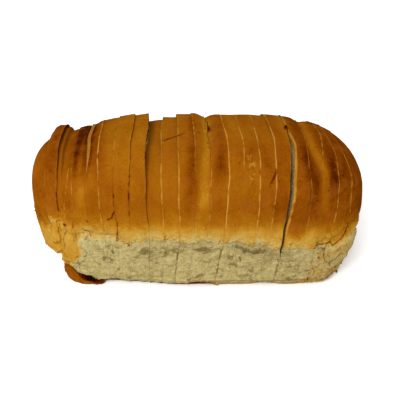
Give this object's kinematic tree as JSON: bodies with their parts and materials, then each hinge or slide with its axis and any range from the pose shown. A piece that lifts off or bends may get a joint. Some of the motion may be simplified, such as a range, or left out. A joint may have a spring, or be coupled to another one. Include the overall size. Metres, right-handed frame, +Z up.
{
  "type": "sliced tin loaf",
  "caption": "Sliced white tin loaf: domed golden-brown crown, a lip of crust over pale torn side walls, crusty heels, all slices standing together in the shape of the whole loaf.",
  "frame": {"origin": "centre of the loaf's footprint, on the surface that it stands on", "axes": "+X along the loaf from the hanging heel to the full heel, -Y out of the shown long side, +Z up"},
  "size_m": [0.2626, 0.1197, 0.1197],
  "materials": {
    "heel_crust": "dry baked crust, satin on the crown, matt below",
    "sliced_bread": "satin golden-brown crust with matt pale crumb on the torn walls and cut faces"
  },
  "bodies": {
    "root": {"heel_left": "heel_crust", "slice_02": "sliced_bread", "slice_03": "sliced_bread", "slice_04": "sliced_bread", "slice_05": "sliced_bread", "slice_06": "sliced_bread", "slice_07": "sliced_bread", "slice_08": "sliced_bread", "slice_09": "sliced_bread", "slice_10": "sliced_bread", "slice_11": "sliced_bread", "slice_12": "sliced_bread", "slice_13": "sliced_bread", "slice_14": "sliced_bread", "slice_15": "sliced_bread", "slice_16": "sliced_bread", "slice_17": "sliced_bread", "slice_18": "sliced_bread", "slice_19": "sliced_bread", "slice_20": "sliced_bread", "slice_21": "sliced_bread", "heel_right": "heel_crust"}
  },
  "joints": []
}
